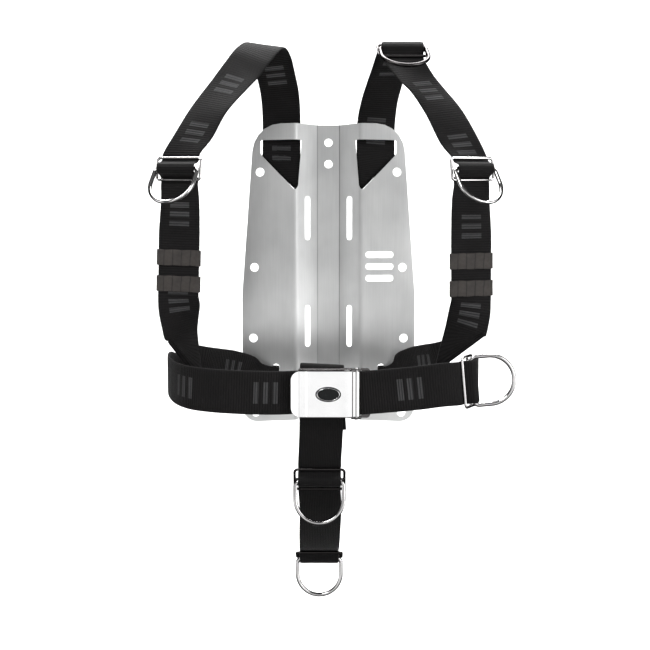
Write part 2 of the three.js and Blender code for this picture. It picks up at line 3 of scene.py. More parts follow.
import bpy
import numpy as np
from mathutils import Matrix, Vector


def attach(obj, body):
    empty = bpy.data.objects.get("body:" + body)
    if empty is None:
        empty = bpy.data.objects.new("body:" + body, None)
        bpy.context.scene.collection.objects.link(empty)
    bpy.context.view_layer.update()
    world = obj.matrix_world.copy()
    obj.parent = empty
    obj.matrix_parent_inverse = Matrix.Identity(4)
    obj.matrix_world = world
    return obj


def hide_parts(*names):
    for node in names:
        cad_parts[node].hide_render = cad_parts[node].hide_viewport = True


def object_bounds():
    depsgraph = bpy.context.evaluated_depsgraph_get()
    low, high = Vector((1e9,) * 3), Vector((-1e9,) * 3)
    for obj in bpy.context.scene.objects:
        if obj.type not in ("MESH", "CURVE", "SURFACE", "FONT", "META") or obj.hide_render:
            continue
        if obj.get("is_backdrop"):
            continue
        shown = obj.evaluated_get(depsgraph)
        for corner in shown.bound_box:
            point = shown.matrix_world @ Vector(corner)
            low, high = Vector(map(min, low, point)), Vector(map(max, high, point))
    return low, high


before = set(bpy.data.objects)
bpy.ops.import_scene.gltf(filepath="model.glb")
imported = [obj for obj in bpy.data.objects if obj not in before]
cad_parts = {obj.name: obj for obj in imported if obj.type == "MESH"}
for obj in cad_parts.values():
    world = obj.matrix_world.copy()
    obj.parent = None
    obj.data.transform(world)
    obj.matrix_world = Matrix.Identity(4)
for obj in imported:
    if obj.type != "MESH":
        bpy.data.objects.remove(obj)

loaded_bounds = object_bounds()

MM = 0.001
GAP = 0.3
WEB_WIDTH, WEB_THICK = 50.0, 2.4
SLIDE_WIDTH, SLIDE_LENGTH, SLIDE_WIRE, SLIDE_CORNER = 61.0, 29.0, 3.2, 4.0
RING_WIDTH, RING_DEPTH, RING_WIRE, RING_CORNER = 61.0, 53.0, 5.0, 6.0
SLIDE_LIFT = WEB_THICK / 2 + GAP + SLIDE_WIRE / 2
RING_LIFT = SLIDE_LIFT + SLIDE_WIRE / 2 + GAP + RING_WIRE / 2


# ---- small vector helpers (mm) ---------------------------------------------------------------
def vec(*xyz):
    return np.array(xyz, float)


def unit(v):
    return v / np.linalg.norm(v)


def frame_at(origin, across, along):
    t = unit(vec(*along))
    a = vec(*across)
    a = unit(a - t * a.dot(t))
    return {"o": vec(*origin), "a": a, "t": t, "n": unit(np.cross(t, a))}


def place(f, across, along, out):
    return f["o"] + f["a"] * across + f["t"] * along + f["n"] * out


def turned(f, degrees):
    """The frame of a ring on the slide at f, leaning out from the strap."""
    r = math.radians(degrees)
    along = f["t"] * math.cos(r) + f["n"] * math.sin(r)
    return frame_at(place(f, 0, 0, RING_LIFT), f["a"], along)


HARDWARE = {
    "left_shoulder": (frame_at((-175.5, -144.5, 120), (0.93, -0.36, -0.04), (-0.06, -0.06, -1)), 28),
    "right_shoulder": (frame_at((168, -142, 120), (0.9, 0.42, 0.04), (0.06, -0.05, -1)), 28),
    "right_top": (frame_at((88, -110, 262), (0.97, 0.14, 0.06), (0.08, -0.72, -0.62)), 4),
    "hip": (frame_at((158.5, -188, -126), (-0.09, 0, 1), (0.57, 0.82, 0.05)), 55),
    "front_crotch": (frame_at((-11, -183, -240), (1, 0, 0), (0, 0.3, -0.95)), 28),
    "rear_crotch": (frame_at((-12, -72, -364), (1, 0, 0), (0, 0.86, -0.5)), 60),
}


# ---- materials -------------------------------------------------------------------------------
class Nodes:
    """A new material and short calls for its node tree."""

    def __init__(self, name):
        self.m = bpy.data.materials.new(name)
        self.m.use_nodes = True
        self.t = self.m.node_tree
        self.t.nodes.clear()
        self.bsdf = self.t.nodes.new("ShaderNodeBsdfPrincipled")
        out = self.t.nodes.new("ShaderNodeOutputMaterial")
        self.t.links.new(self.bsdf.outputs[0], out.inputs[0])

    def set(self, socket, value):
        if hasattr(value, "is_linked"):
            self.t.links.new(value, socket)
        else:
            socket.default_value = value

    def shade(self, name, value):
        self.set(self.bsdf.inputs[name], value)

    def uv(self):
        n = self.t.nodes.new("ShaderNodeUVMap")
        n.uv_map = "UVMap"
        return n.outputs[0]

    def place(self):
        return self.t.nodes.new("ShaderNodeTexCoord").outputs["Object"]

    def scaled(self, vector, scale):
        n = self.t.nodes.new("ShaderNodeMapping")
        self.set(n.inputs["Vector"], vector)
        n.inputs["Scale"].default_value = scale
        return n.outputs[0]

    def noise(self, vector, scale, detail=3.0):
        n = self.t.nodes.new("ShaderNodeTexNoise")
        self.set(n.inputs["Vector"], vector)
        n.inputs["Scale"].default_value = scale
        n.inputs["Detail"].default_value = detail
        return n.outputs[0]

    def wave(self, vector, scale, direction, distortion=0.0):
        n = self.t.nodes.new("ShaderNodeTexWave")
        n.bands_direction = direction
        self.set(n.inputs["Vector"], vector)
        n.inputs["Scale"].default_value = scale
        n.inputs["Distortion"].default_value = distortion
        return n.outputs["Fac"]

    def ramp(self, fac, stops):
        n = self.t.nodes.new("ShaderNodeValToRGB")
        self.set(n.inputs[0], fac)
        while len(n.color_ramp.elements) < len(stops):
            n.color_ramp.elements.new(0.5)
        for e, (at_, c) in zip(n.color_ramp.elements, stops):
            e.position = at_
            e.color = (c, c, c, 1) if isinstance(c, float) else (*c, 1)
        return n.outputs[0]

    def math(self, op, a, b=0.0):
        n = self.t.nodes.new("ShaderNodeMath")
        n.operation = op
        self.set(n.inputs[0], a)
        self.set(n.inputs[1], b)
        return n.outputs[0]

    def mix(self, fac, a, b, blend="MIX"):
        n = self.t.nodes.new("ShaderNodeMix")
        n.data_type = "RGBA"
        n.blend_type = blend
        self.set(n.inputs[0], fac)
        for socket, value in ((n.inputs[6], a), (n.inputs[7], b)):
            self.set(socket, value if hasattr(value, "is_linked") else (*value, 1))
        return n.outputs[2]

    def split(self, vector):
        n = self.t.nodes.new("ShaderNodeSeparateXYZ")
        self.set(n.inputs[0], vector)
        return n.outputs

    def bump(self, height, depth, strength=1.0, after=None):
        n = self.t.nodes.new("ShaderNodeBump")
        n.inputs["Strength"].default_value = strength
        n.inputs["Distance"].default_value = depth
        self.set(n.inputs["Height"], height)
        if after is not None:
            self.set(n.inputs["Normal"], after)
        return n.outputs[0]


def webbing_material(name, dark, light, along_ribs=False):
    """Woven strap: fine yarns along and across, fuzz and slow variation, with painted shade in the rib valleys. UV is
    metres.
    """
    k = Nodes(name)
    uv = k.uv()
    yarns = k.wave(uv, 1 / (0.9 * MM) / 6.283 * 2, "X")
    picks = k.wave(uv, 1 / (0.75 * MM) / 6.283 * 2, "Y", 0.4)
    if along_ribs:
        yarns = k.wave(uv, 1 / (2.0 * MM) / 6.283 * 2, "X")
    fuzz = k.noise(uv, 900, 4)
    slow = k.noise(uv, 22, 2)
    weave = k.math("MULTIPLY", yarns, picks)
    tone = k.mix(k.math("MULTIPLY", weave, 0.55), dark, light)
    tone = k.mix(0.35, tone, k.ramp(fuzz, [(0.3, tuple(c * 0.5 for c in dark)), (0.75, light)]))
    tone = k.mix(k.ramp(slow, [(0.35, 0.0), (0.75, 0.35)]), tone, light)
    k.shade("Roughness", k.ramp(fuzz, [(0.2, 0.62), (0.8, 0.85)]))
    ribs = k.wave(uv, 1 / (3.0 * MM) / 6.283 * 2, "Y") if not along_ribs else yarns
    # painted shade: the webbing colour is darkened in the valleys between the ribs
    tone = k.mix(k.ramp(ribs, [(0.0, 0.85), (0.45, 0.0)]), tone, tuple(c * 0.2 for c in dark))
    k.shade("Base Color", tone)
    k.shade("Sheen Weight", 0.06)
    k.shade("Sheen Roughness", 0.4)
    k.shade("Specular IOR Level", 0.2)
    first = k.bump(weave, 0.15 * MM, 0.8)
    k.shade("Normal", k.bump(fuzz, 0.1 * MM, 0.4, first))
    return k.m


def brushed_steel():
    """Bent sheet, brushed up and down, with the soft clouding of its protective film, painted shade along the bends
    and painted light towards the bottom.
    """
    k = Nodes("brushed_steel")
    p = k.place()
    grain = k.noise(k.scaled(p, (1, 1, 0.02)), 900, 4)
    haze = k.noise(k.scaled(p, (1, 1, 0.7)), 14, 3)
    fine = k.noise(p, 60, 3)
    tone = k.mix(k.ramp(haze, [(0.35, 0.0), (0.7, 1.0)]), (0.5, 0.505, 0.505), (0.66, 0.665, 0.66))
    tone = k.mix(0.09, tone, k.ramp(grain, [(0.3, 0.34), (0.7, 0.8)]))
    # painted shade: a thin dark line along each bend of the channel
    from_middle = k.math("ABSOLUTE", k.split(p)["X"])
    bend = k.math("ABSOLUTE", k.math("SUBTRACT", from_middle, 14.6 * MM))
    tone = k.mix(k.ramp(k.math("MULTIPLY", bend, 1 / (1.6 * MM)), [(0.2, 0.55), (0.6, 0.0)]), tone, (0.12, 0.12, 0.12))
    height = k.split(p)["Z"]
    # painted light: the colour is made lighter towards the bottom of the plate
    lower_painted_light = k.ramp(k.math("ADD", k.math("MULTIPLY", height, 2.5), 0.5), [(0.05, 1.0), (0.55, 0.0)])
    k.shade("Base Color", k.mix(k.math("MULTIPLY", lower_painted_light, 0.3), tone, (0.9, 0.905, 0.9)))
    k.shade("Metallic", 0.8)
    rough = k.math("ADD", k.ramp(grain, [(0.2, 0.31), (0.8, 0.4)]), k.ramp(fine, [(0.3, 0.0), (0.8, 0.08)]))
    k.shade("Roughness", rough)
    k.shade("Anisotropic", 0.6)
    k.shade("Normal", k.bump(grain, 0.02 * MM, 0.25))
    return k.m


def chrome(name, tone, rough, wear=0.12, lines=()):
    """Polished metal, a little cloudy, with wear marks; lines are painted shade along upright creases (x, width,
    depth).
    """
    k = Nodes(name)
    p = k.place()
    cloud = k.noise(p, 45, 3)
    marks = k.noise(k.scaled(p, (1, 0.25, 1)), 420, 5)
    colour = k.mix(k.ramp(cloud, [(0.3, 0.0), (0.7, 1.0)]), tuple(c * 0.9 for c in tone), tone)
    # painted shade: each line darkens the colour along an upright crease
    for x, wide, deep in lines:
        away = k.math("ABSOLUTE", k.math("SUBTRACT", k.split(p)["X"], x * MM))
        colour = k.mix(k.ramp(k.math("MULTIPLY", away, 1 / (wide * MM)), [(0.3, deep), (0.7, 0.0)]), colour,
                       (0.03, 0.025, 0.025))
    k.shade("Base Color", colour)
    k.shade("Metallic", 1.0)
    k.shade("Roughness", k.math("ADD", k.ramp(cloud, [(0.3, rough), (0.75, rough + 0.05)]),
                                k.ramp(marks, [(0.55, 0.0), (0.75, wear)])))
    k.shade("Normal", k.bump(marks, 0.01 * MM, wear))
    return k.m


def rubber_material():
    """Elastic keeper: fine cords running round it, dusty brown grey."""
    k = Nodes("keeper_rubber")
    uv = k.uv()
    cords = k.wave(uv, 1 / (1.3 * MM) / 6.283 * 2, "Y", 0.6)
    dust = k.noise(uv, 260, 4)
    blotch = k.noise(uv, 60, 3)
    tone = k.mix(k.ramp(cords, [(0.2, 0.0), (0.9, 0.45)]), (0.03, 0.025, 0.022), (0.085, 0.073, 0.065))
    tone = k.mix(k.ramp(blotch, [(0.35, 0.0), (0.7, 0.6)]), tone, (0.022, 0.019, 0.018))
    seams = k.wave(uv, 1 / (11 * MM) / 6.283 * 2, "X", 1.2)
    tone = k.mix(k.ramp(seams, [(0.0, 0.8), (0.06, 0.0)]), tone, (0.008, 0.007, 0.007))
    k.shade("Base Color", tone)
    k.shade("Roughness", k.ramp(dust, [(0.2, 0.6), (0.8, 0.85)]))
    k.shade("Normal", k.bump(cords, 0.12 * MM, 0.8, k.bump(dust, 0.1 * MM, 0.4)))
    return k.m


def enamel_material():
    """Dark glossy badge face with fine lighter specks."""
    k = Nodes("badge_enamel")
    p = k.place()
    specks = k.noise(p, 900, 2)
    tone = k.mix(k.ramp(specks, [(0.4, 0.0), (0.8, 0.5)]), (0.002, 0.003, 0.003), (0.012, 0.014, 0.014))
    k.shade("Base Color", tone)
    k.shade("Roughness", k.ramp(specks, [(0.2, 0.18), (0.8, 0.3)]))
    k.shade("Specular IOR Level", 0.2)
    return k.m


BLACK = webbing_material("webbing_black", (0.0032, 0.0028, 0.003), (0.0145, 0.013, 0.0135))
TICKS = webbing_material("webbing_tick", (0.03, 0.03, 0.031), (0.088, 0.088, 0.09))
BLACK_CROTCH = webbing_material("webbing_crotch", (0.0022, 0.0019, 0.002), (0.009, 0.008, 0.0085), True)
STEEL = brushed_steel()
CHROME = chrome("chrome", (0.9, 0.9, 0.9), 0.06)
# painted shade: a near-black copy of the chrome for hardware that should read dark
SHADE_PAINTED_CHROME = chrome("chrome_shade_painted", (0.06, 0.056, 0.056), 0.16)
# the cover's three lines are painted shade along its bends
COVER_CHROME = chrome("cover_chrome", (1.0, 1.0, 1.0), 0.2, 0.03,
                      lines=[(-34.0, 0.9, 0.25), (26.4, 1.1, 0.95), (30.4, 1.1, 0.95)])
# painted shade: the buckle base chrome is darkened to take out its bright reflections
SHADE_PAINTED_BASE = chrome("base_shade_painted", (0.1, 0.095, 0.095), 0.16)
# painted shade: a copy of the chrome darkened for the rings, the shoulder and hip slides, and the hinge pin
SHADE_PAINTED_RING = chrome("ring_shade_painted", (0.66, 0.65, 0.65), 0.07)
RUBBER = rubber_material()
ENAMEL = enamel_material()


# ---- mesh building ---------------------------------------------------------------------------
def add_mesh(name, points, faces, materials, uvs=None, indices=None, smooth=True):
    mesh = bpy.data.meshes.new(name)
    mesh.from_pydata([tuple(p) for p in np.asarray(points) * MM], [], faces)
    for m in materials:
        mesh.materials.append(m)
    if indices is not None:
        mesh.polygons.foreach_set("material_index", indices)
    mesh.polygons.foreach_set("use_smooth", [smooth] * len(mesh.polygons))
    if uvs is not None:
        layer = mesh.uv_layers.new(name="UVMap")
        layer.data.foreach_set("uv", np.asarray(uvs, float).ravel())
    mesh.validate()
    mesh.update()
    obj = bpy.data.objects.new(name, mesh)
    bpy.context.scene.collection.objects.link(obj)
    return obj


def loft(name, rings, materials, closed=False, uv_rings=None, mark=None):
    """Joins rings of points. uv_rings gives (u, v) for each ring's points plus a closing one."""
    rings = np.asarray(rings)
    count, sides = rings.shape[:2]
    faces, uvs, indices = [], [], []
    for i in range(count if closed else count - 1):
        n = (i + 1) % count
        for j in range(sides):
            q = (j + 1) % sides
            faces.append((i * sides + j, i * sides + q, n * sides + q, n * sides + j))
            indices.append(mark(i, j) if mark else 0)
            if uv_rings is not None:
                uvs += [uv_rings[i][j], uv_rings[i][j + 1], uv_rings[i + 1][j + 1], uv_rings[i + 1][j]]
    if not closed:
        for start, order in ((0, range(sides - 1, -1, -1)), ((count - 1) * sides, range(sides))):
            faces.append(tuple(start + j for j in order))
            indices.append(0)
            if uv_rings is not None:
                uvs += [uv_rings[0 if start == 0 else -1][j] for j in order]
    points = rings.reshape(-1, 3)
    solid = sum(np.dot(points[f[0]], np.cross(points[f[k]], points[f[k + 1]]))
                for f in faces for k in range(1, len(f) - 1))
    if solid < 0:
        faces = [tuple(reversed(f)) for f in faces]
        if uv_rings is not None:
            flipped, k = [], 0
            for f in faces:
                flipped += uvs[k:k + len(f)][::-1]
                k += len(f)
            uvs = flipped
    return add_mesh(name, points, faces, materials, uvs if uv_rings is not None else None, indices)


# ---- webbing ---------------------------------------------------------------------------------
def at(x, y, z, ax, ay, az):
    return {"c": vec(x, y, z), "across": vec(ax, ay, az)}


def folded(x, y, z, ex, ey, ez):
    return {"c": vec(x, y, z), "edge": vec(ex, ey, ez)}


def slanted(x, y, z, ax, ay, az):
    return {"c": vec(x, y, z), "edge": unit(vec(ax, ay, az)) * WEB_WIDTH / 2}


HUMP = [
    (-17, -0.2), (-13, -0.4), (-9.2, 1.6), (-6.4, 6.6), (-4.6, 11), (0, RING_LIFT + 5.1),
    (4.6, 11), (6.4, 6.6), (9.2, 1.6), (13, -0.4), (17, -0.2),
]


def over_slide(name):
    f = HARDWARE[name][0]
    return [{"c": place(f, 0, along, out), "edge": f["a"] * WEB_WIDTH / 2} for along, out in HUMP]


def half_edges(stations):
    edges = []
    for i, s in enumerate(stations):
        if "edge" in s:
            edges.append(s["edge"])
            continue
        along = unit(stations[min(i + 1, len(stations) - 1)]["c"] - stations[max(i - 1, 0)]["c"])
        across = s["across"] - along * s["across"].dot(along)
        edges.append(unit(across) * WEB_WIDTH / 2)
    return edges


def spline(points, steps):
    """Centripetal Catmull-Rom through the points, with steps[i] samples in span i."""
    p = [2 * points[0] - points[1], *points, 2 * points[-1] - points[-2]]
    out = [points[0]]
    for i, count in enumerate(steps):
        a, b, c, d = p[i:i + 4]
        d0, d1, d2 = (np.linalg.norm(v) ** 0.5 for v in (b - a, c - b, d - c))
        t1 = ((b - a) / d0 - (c - a) / (d0 + d1) + (c - b) / d1) * d1
        t2 = ((c - b) / d1 - (d - b) / (d1 + d2) + (d - c) / d2) * d1
        for w in np.arange(1, count + 1) / count:
            out.append(b + t1 * w + (-3 * b + 3 * c - 2 * t1 - t2) * w ** 2 + (2 * b - 2 * c + t1 + t2) * w ** 3)
    return np.array(out)


def strap_line(stations, spacing=0.75):
    """Dense left edge, right edge and distance along the strap, all in mm."""
    edges = half_edges(stations)
    centres = [s["c"] for s in stations]
    steps = [max(2, round(np.linalg.norm(b - a) / spacing)) for a, b in zip(centres, centres[1:])]
    left = spline([c - e for c, e in zip(centres, edges)], steps)
    right = spline([c + e for c, e in zip(centres, edges)], steps)
    middle = (left + right) / 2
    run = np.concatenate([[0], np.cumsum(np.linalg.norm(np.diff(middle, axis=0), axis=1))])
    return left, right, run


COLUMNS = [-0.975, -0.9, -0.7, *np.linspace(-0.49, 0.49, 9), 0.7, 0.9, 0.975]
SECTION = [(-1, 0), *[(u, 1) for u in COLUMNS], (1, 0), *[(u, -1) for u in COLUMNS[::-1]]]
RIB_PITCH, RIB_HEIGHT = 3.0, 0.36
TICK_LONG, TICK_PITCH = 6.0, 11.0


def strap(name, stations, materials, ticks=(), creases=(), ribs=True):
    left, right, run = strap_line(stations)
    middle = (left + right) / 2
    ahead = np.vstack([middle[1:], middle[-1:]])
    behind = np.vstack([middle[:1], middle[:-1]])
    out = np.cross(right - left, ahead - behind)
    out /= np.linalg.norm(out, axis=1)[:, None]
    for _ in range(2):
        out[1:-1] = out[:-2] + 2 * out[1:-1] + out[2:]
        out /= np.linalg.norm(out, axis=1)[:, None]
    along = (ahead - behind) / np.linalg.norm(ahead - behind, axis=1)[:, None]
    half = (right - left) / 2
    u, h = np.array(SECTION).T
    near_crease = np.clip(1.6 - np.abs(run[:, None] - np.array([*creases, -1e6])).min(1) / 25, 0, 1)
    slant = np.einsum("ij,ij->i", half, along) * near_crease
    length = run[:, None] + slant[:, None] * u
    rib = WEB_THICK / 2 - RIB_HEIGHT / 2 + RIB_HEIGHT / 2 * np.cos(2 * math.pi * length / RIB_PITCH) * ribs
    rib = np.where(np.abs(u) < 0.95, rib, 0.66)
    rings = middle[:, None] + half[:, None] * u[:, None] + out[:, None] * (h * rib)[:, :, None]
    us = (u * WEB_WIDTH / 2 + 70 * (h < 0)) * MM
    uv_rings = np.stack([np.broadcast_to(us, length.shape), length * MM], axis=2)
    uv_rings = np.concatenate([uv_rings, uv_rings[:, :1]], axis=1)
    ends = np.array(ticks if ticks else [-1e6])

    def mark(i, j):
        if abs(u[j]) > 0.5 or abs(u[(j + 1) % len(u)]) > 0.5:
            return 0
        centre = (length[i, j] + length[min(i + 1, len(run) - 1), (j + 1) % len(u)]) / 2
        return int(np.abs(ends - centre).min() < TICK_LONG / 2)

    piece = loft(name, rings, materials, uv_rings=uv_rings, mark=mark if ticks else None)
    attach(piece, "harness")
    return piece


LEFT_SHOULDER = [
    folded(-62, -13.65, 126.5, 25, -1.35, -24.5),
    at(-61.8, -13.65, 158, 1, -0.054, 0),
    at(-61.6, -13.8, 196, 1, -0.054, 0),
    at(-63, -26, 226, 0.99, -0.09, 0.11),
    at(-67, -45, 247, 0.96, -0.2, 0.12),
    at(-72, -68, 266, 0.95, -0.28, 0.09),
    slanted(-78, -91, 275, 0.93, -0.3, -0.19),
    slanted(-90.5, -104, 262, 0.86, -0.33, -0.39),
    slanted(-105, -112, 241.5, 0.88, -0.3, -0.37),
    slanted(-119, -119, 223, 0.9, -0.35, -0.27),
    slanted(-142.5, -131, 191.5, 0.89, -0.41, -0.19),
    slanted(-160, -139, 160, 0.92, -0.34, -0.17),
    *over_slide("left_shoulder"),
    at(-176, -144.5, 84, 0.95, -0.3, -0.01),
    at(-177.6, -142.4, 46, 0.99, -0.13, 0),
    at(-178.5, -141.96, 16, 0.99, -0.13, 0),
    at(-179.76, -141.34, -26, 0.99, -0.13, 0),
    at(-179.85, -141.3, -29, 0.99, -0.13, 0),
    at(-179.5, -136, -44, 0.95, 0.3, 0),
    at(-179.5, -129, -62, 0.8, 0.6, -0.03),
    at(-178.5, -124.5, -78, 0.68, 0.73, -0.05),
    folded(-173.5, -122, -108, 14.5, 20.4, -25),
    folded(-177.3, -121.9, -110.1, 14.5, 20.4, -25),
    folded(-178.3, -118.5, -108, 14.5, 20.4, -25),
    at(-156, -99, -119, 0, 0, -1),
    at(-140, -79, -123.5, 0, 0, -1),
    at(-122, -55, -129, 0, 0, -1),
    at(-104, -38.5, -137.5, 0, 0, -1),
    slanted(-88, -29.5, -148, 0, 0, -1),
    slanted(-79, -24.6, -152, 0, 0, -1),
    slanted(-73.8, -21.7, -153, 0, 0, -1),
    at(-69.5, -18.9, -153, 0, 0, -1),
    at(-65.4, -15.9, -153, 0, 0, -1),
    at(-62, -11.5, -153, 0, 0, -1),
]
RIGHT_SHOULDER = [
    folded(62, -13.65, 126.5, 25, 1.35, 24.5),
    at(61.8, -13.65, 158, 1, 0.054, 0),
    at(62.5, -13.8, 192, 1, 0.054, 0),
    at(66, -26, 217, 0.98, 0.14, 0.18),
    at(70.6, -42, 234, 0.97, 0.17, 0.18),
    at(77, -64, 253, 0.96, 0.22, 0.17),
    at(82.5, -84, 267.5, 0.96, 0.22, 0.12),
    *over_slide("right_top"),
    slanted(104, -129, 229, 0.89, 0.42, 0.16),
    slanted(117, -131, 214.5, 0.86, 0.49, 0.15),
    slanted(136, -134.5, 188.5, 0.91, 0.38, 0.15),
    slanted(155.5, -138.5, 152, 0.95, 0.28, 0.12),
    *over_slide("right_shoulder")[1:],
    at(168, -143.5, 84, 0.94, 0.33, 0.02),
    at(169, -142.5, 45, 0.98, 0.18, 0),
    at(169.48, -141.54, 12, 0.98, 0.18, 0),
    at(170.1, -140.3, -31, 0.98, 0.18, 0),
    at(170.15, -140.2, -34, 0.98, 0.18, 0),
    at(168.8, -137.5, -50, 0.99, -0.08, 0),
    at(164.6, -134, -72, 0.95, -0.32, 0.03),
    folded(158.5, -130, -95.6, 27, -13, 23),
    folded(161.3, -128.3, -98.2, 27, -13, 23),
    folded(161.3, -124.7, -95.6, 27, -13, 23),
    at(136, -106, -113, 0, 0, 1),
    at(122, -84, -118, 0, 0, 1),
    at(108, -59, -124, 0, 0, 1),
    at(96, -41, -133, 0, 0, 1),
    slanted(85, -29.5, -146, 0, 0, 1),
    slanted(78, -24.2, -152, 0, 0, 1),
    slanted(73.8, -21.7, -153, 0, 0, 1),
    at(69.5, -18.9, -153, 0, 0, 1),
    at(65.4, -15.9, -153, 0, 0, 1),
    at(62, -11.5, -153, 0, 0, 1),
]
LEFT_WAIST = [
    at(-67, -9.5, -153, 0, 0, -1),
    at(-74, -9.8, -153, 0, 0, -1),
    at(-84, -10.9, -153, 0, 0, -1),
    at(-88.5, -12.4, -153, 0, 0, -1),
    at(-92.5, -15.2, -153, 0, 0, -1),
    at(-97, -18.3, -153, 0, 0, -1),
    at(-104, -21.8, -153, 0, 0, -1),
    at(-125, -28, -151.5, 0, 0, -1),
    at(-158, -37, -149.5, 0, 0, -1),
    at(-181, -45, -144, 0, 0, -1),
    at(-195, -56, -134, 0, 0, -1),
    at(-200, -75, -128, 0, 0, -1),
    at(-198.5, -105, -127.5, 0, 0, -1),
    at(-190, -142, -129, 0, 0, -1),
    at(-176, -175, -131, 0, 0, -1),
    at(-157, -195, -133, 0, 0, -1),
    at(-130, -206, -134.5, 0, 0, -1),
    at(-95, -209, -136, 0, 0, -1),
    at(-64, -205.5, -137, 0, 0, -1),
    at(-50, -200.6, -137.5, 0, 0, -1),
    at(-41, -197, -137.5, 0, 0, -1),
    at(-35.5, -196, -137.5, 0, 0, -1),
    at(-30, -196, -137.5, 0, 0, -1),
    at(-5, -196, -137.5, 0, 0, -1),
    at(11, -196, -137.5, 0, 0, -1),
    at(15.5, -196, -137.5, 0, 0, -1),
    at(18.6, -197.4, -137.5, 0, 0, -1),
    at(19.8, -200.4, -137.5, 0, 0, -1),
    at(18.4, -203.4, -137.5, 0, 0, -1),
    at(14, -204.4, -137.5, 0, 0, -1),
    at(9, -204.4, -137.5, 0, 0, -1),
    at(-18, -204.4, -137.5, 0, 0, -1),
]
RIGHT_WAIST = [
    at(67, -9.5, -153, 0, 0, 1),
    at(74, -9.8, -153, 0, 0, 1),
    at(84, -10.9, -153, 0, 0, 1),
    at(88.5, -12.4, -153, 0, 0, 1),
    at(92.5, -15.2, -153, 0, 0, 1),
    at(97, -18.3, -153, 0, 0, 1),
    at(104, -21.8, -153, 0, 0, 1),
    at(125, -28, -151.5, 0, 0, 1),
    at(158, -36, -149.5, 0, 0, 1),
    at(180, -46, -145, 0, 0, 1),
    at(187.5, -66, -138.5, 0, 0, 1),
    at(185.5, -98, -133, 0, 0, 1),
    at(179.5, -132, -130, 0, 0, 1),
    at(173, -159, -127.5, 0, 0, 1),
    *over_slide("hip")[::-1],
    at(128, -208.5, -127.5, -0.1, 0, 1),
    at(100, -209, -131, -0.12, 0, 1),
    at(72, -206.5, -134, -0.1, 0, 1),
    at(52, -204.4, -136, -0.06, 0, 1),
    at(38, -204.2, -137, 0, 0, 1),
    at(30, -204.3, -137.5, 0, 0, 1),
    at(25.5, -205.7, -137.5, 0, 0, 1),
    at(20.5, -207.3, -137.5, 0, 0, 1),
    at(10, -207.5, -137.5, 0, 0, 1),
    at(-24, -207.5, -137.5, 0, 0, 1),
]
CROTCH = [
    at(-5, -191.8, -183, 1, 0, 0),
    at(-6, -193, -165, 1, 0, 0),
    at(-7, -193, -118, 1, 0, 0),
    slanted(-7.6, -193.6, -107.8, 1, 0, -0.05),
    slanted(-7.9, -196, -105.6, 1, 0, -0.05),
    slanted(-8.2, -198.4, -107.8, 1, 0, -0.05),
    at(-8.4, -199, -118, 1, 0, 0),
    at(-8.5, -199, -130, 1, 0, 0),
    at(-8.7, -199, -152, 1, 0, 0),
    at(-8.8, -199, -165, 1, 0, 0),
    at(-9.4, -195.8, -190, 1, 0, 0),
    *over_slide("front_crotch"),
    at(-10, -165, -281, 1, 0, 0),
    at(-11, -135, -321, 1, 0, 0),
    at(-11.6, -108, -345, 1, 0, 0),
    *over_slide("rear_crotch"),
    at(-12, -42, -374.5, 1, 0, 0),
    at(-11.8, -26, -368, 1, 0, 0),
    at(-11, -12, -345, 1, 0, 0),
    at(-9, -3, -310, 1, 0, 0),
    at(-7.5, 2, -265, 1, 0, 0),
    at(-6, 3.6, -232, 1, 0, 0),
    at(-4, 3.4, -205, 1, 0, 0),
    at(-1.6, 2.6, -192, 1, 0, 0),
    at(-0.6, 0, -186.4, 1, 0, 0),
    at(-0.6, -10, -186.2, 1, 0, 0),
    at(-1.2, -15, -190, 1, 0, 0),
    at(-4, -15.6, -205, 1, 0, 0),
    at(-5.5, -6, -222, 1, 0, 0),
    at(-6, 0, -240, 1, 0, 0),
]
NECK_HALF = [
    folded(-62, -10.6, 126.5, -25, 1.35, 24.5),
    folded(-50, -11.2, 126.5, -12, 0.65, 24.5),
    at(-37.5, -11.5, 126.5, 0, 0, 1),
    at(-32, -9, 126.5, 0, 0, 1),
    at(-24, -3, 126.5, 0, 0, 1),
    at(-18, 0.9, 126.5, 0, 0, 1),
    at(-11, 2.4, 126.5, 0, 0, 1),
]


def reversed_run(stations):
    return [{k: (v if k == "c" else -v) for k, v in s.items()} for s in stations[::-1]]


def mirrored(stations):
    flip = vec(-1, 1, 1)
    return [{k: v * flip for k, v in s.items()} for s in stations[::-1]]


def around_slot_bar(side, across):
    """The turn behind the lower slots, where the shoulder run becomes the waist belt."""
    turn = [(68.4, -17.4), (66.6, -14.6), (67.4, -11.2), (70, -9.7)]
    return [at(side * x, y, -153, 0, 0, across) for x, y in turn]


def crease(side):
    return folded(side * 63, -12.1, 125.4, side * 25, 1.35, 24.5)


left_chain = LEFT_SHOULDER[:-3] + around_slot_bar(-1, -1) + LEFT_WAIST[1:]
right_chain = RIGHT_SHOULDER[:-3] + around_slot_bar(1, 1) + RIGHT_WAIST[1:]
NECK = [*NECK_HALF, at(0, 2.4, 126.5, 0, 0, 1), *mirrored(NECK_HALF)]
WHOLE = [*reversed_run(left_chain), crease(-1), *NECK, crease(1), *right_chain]


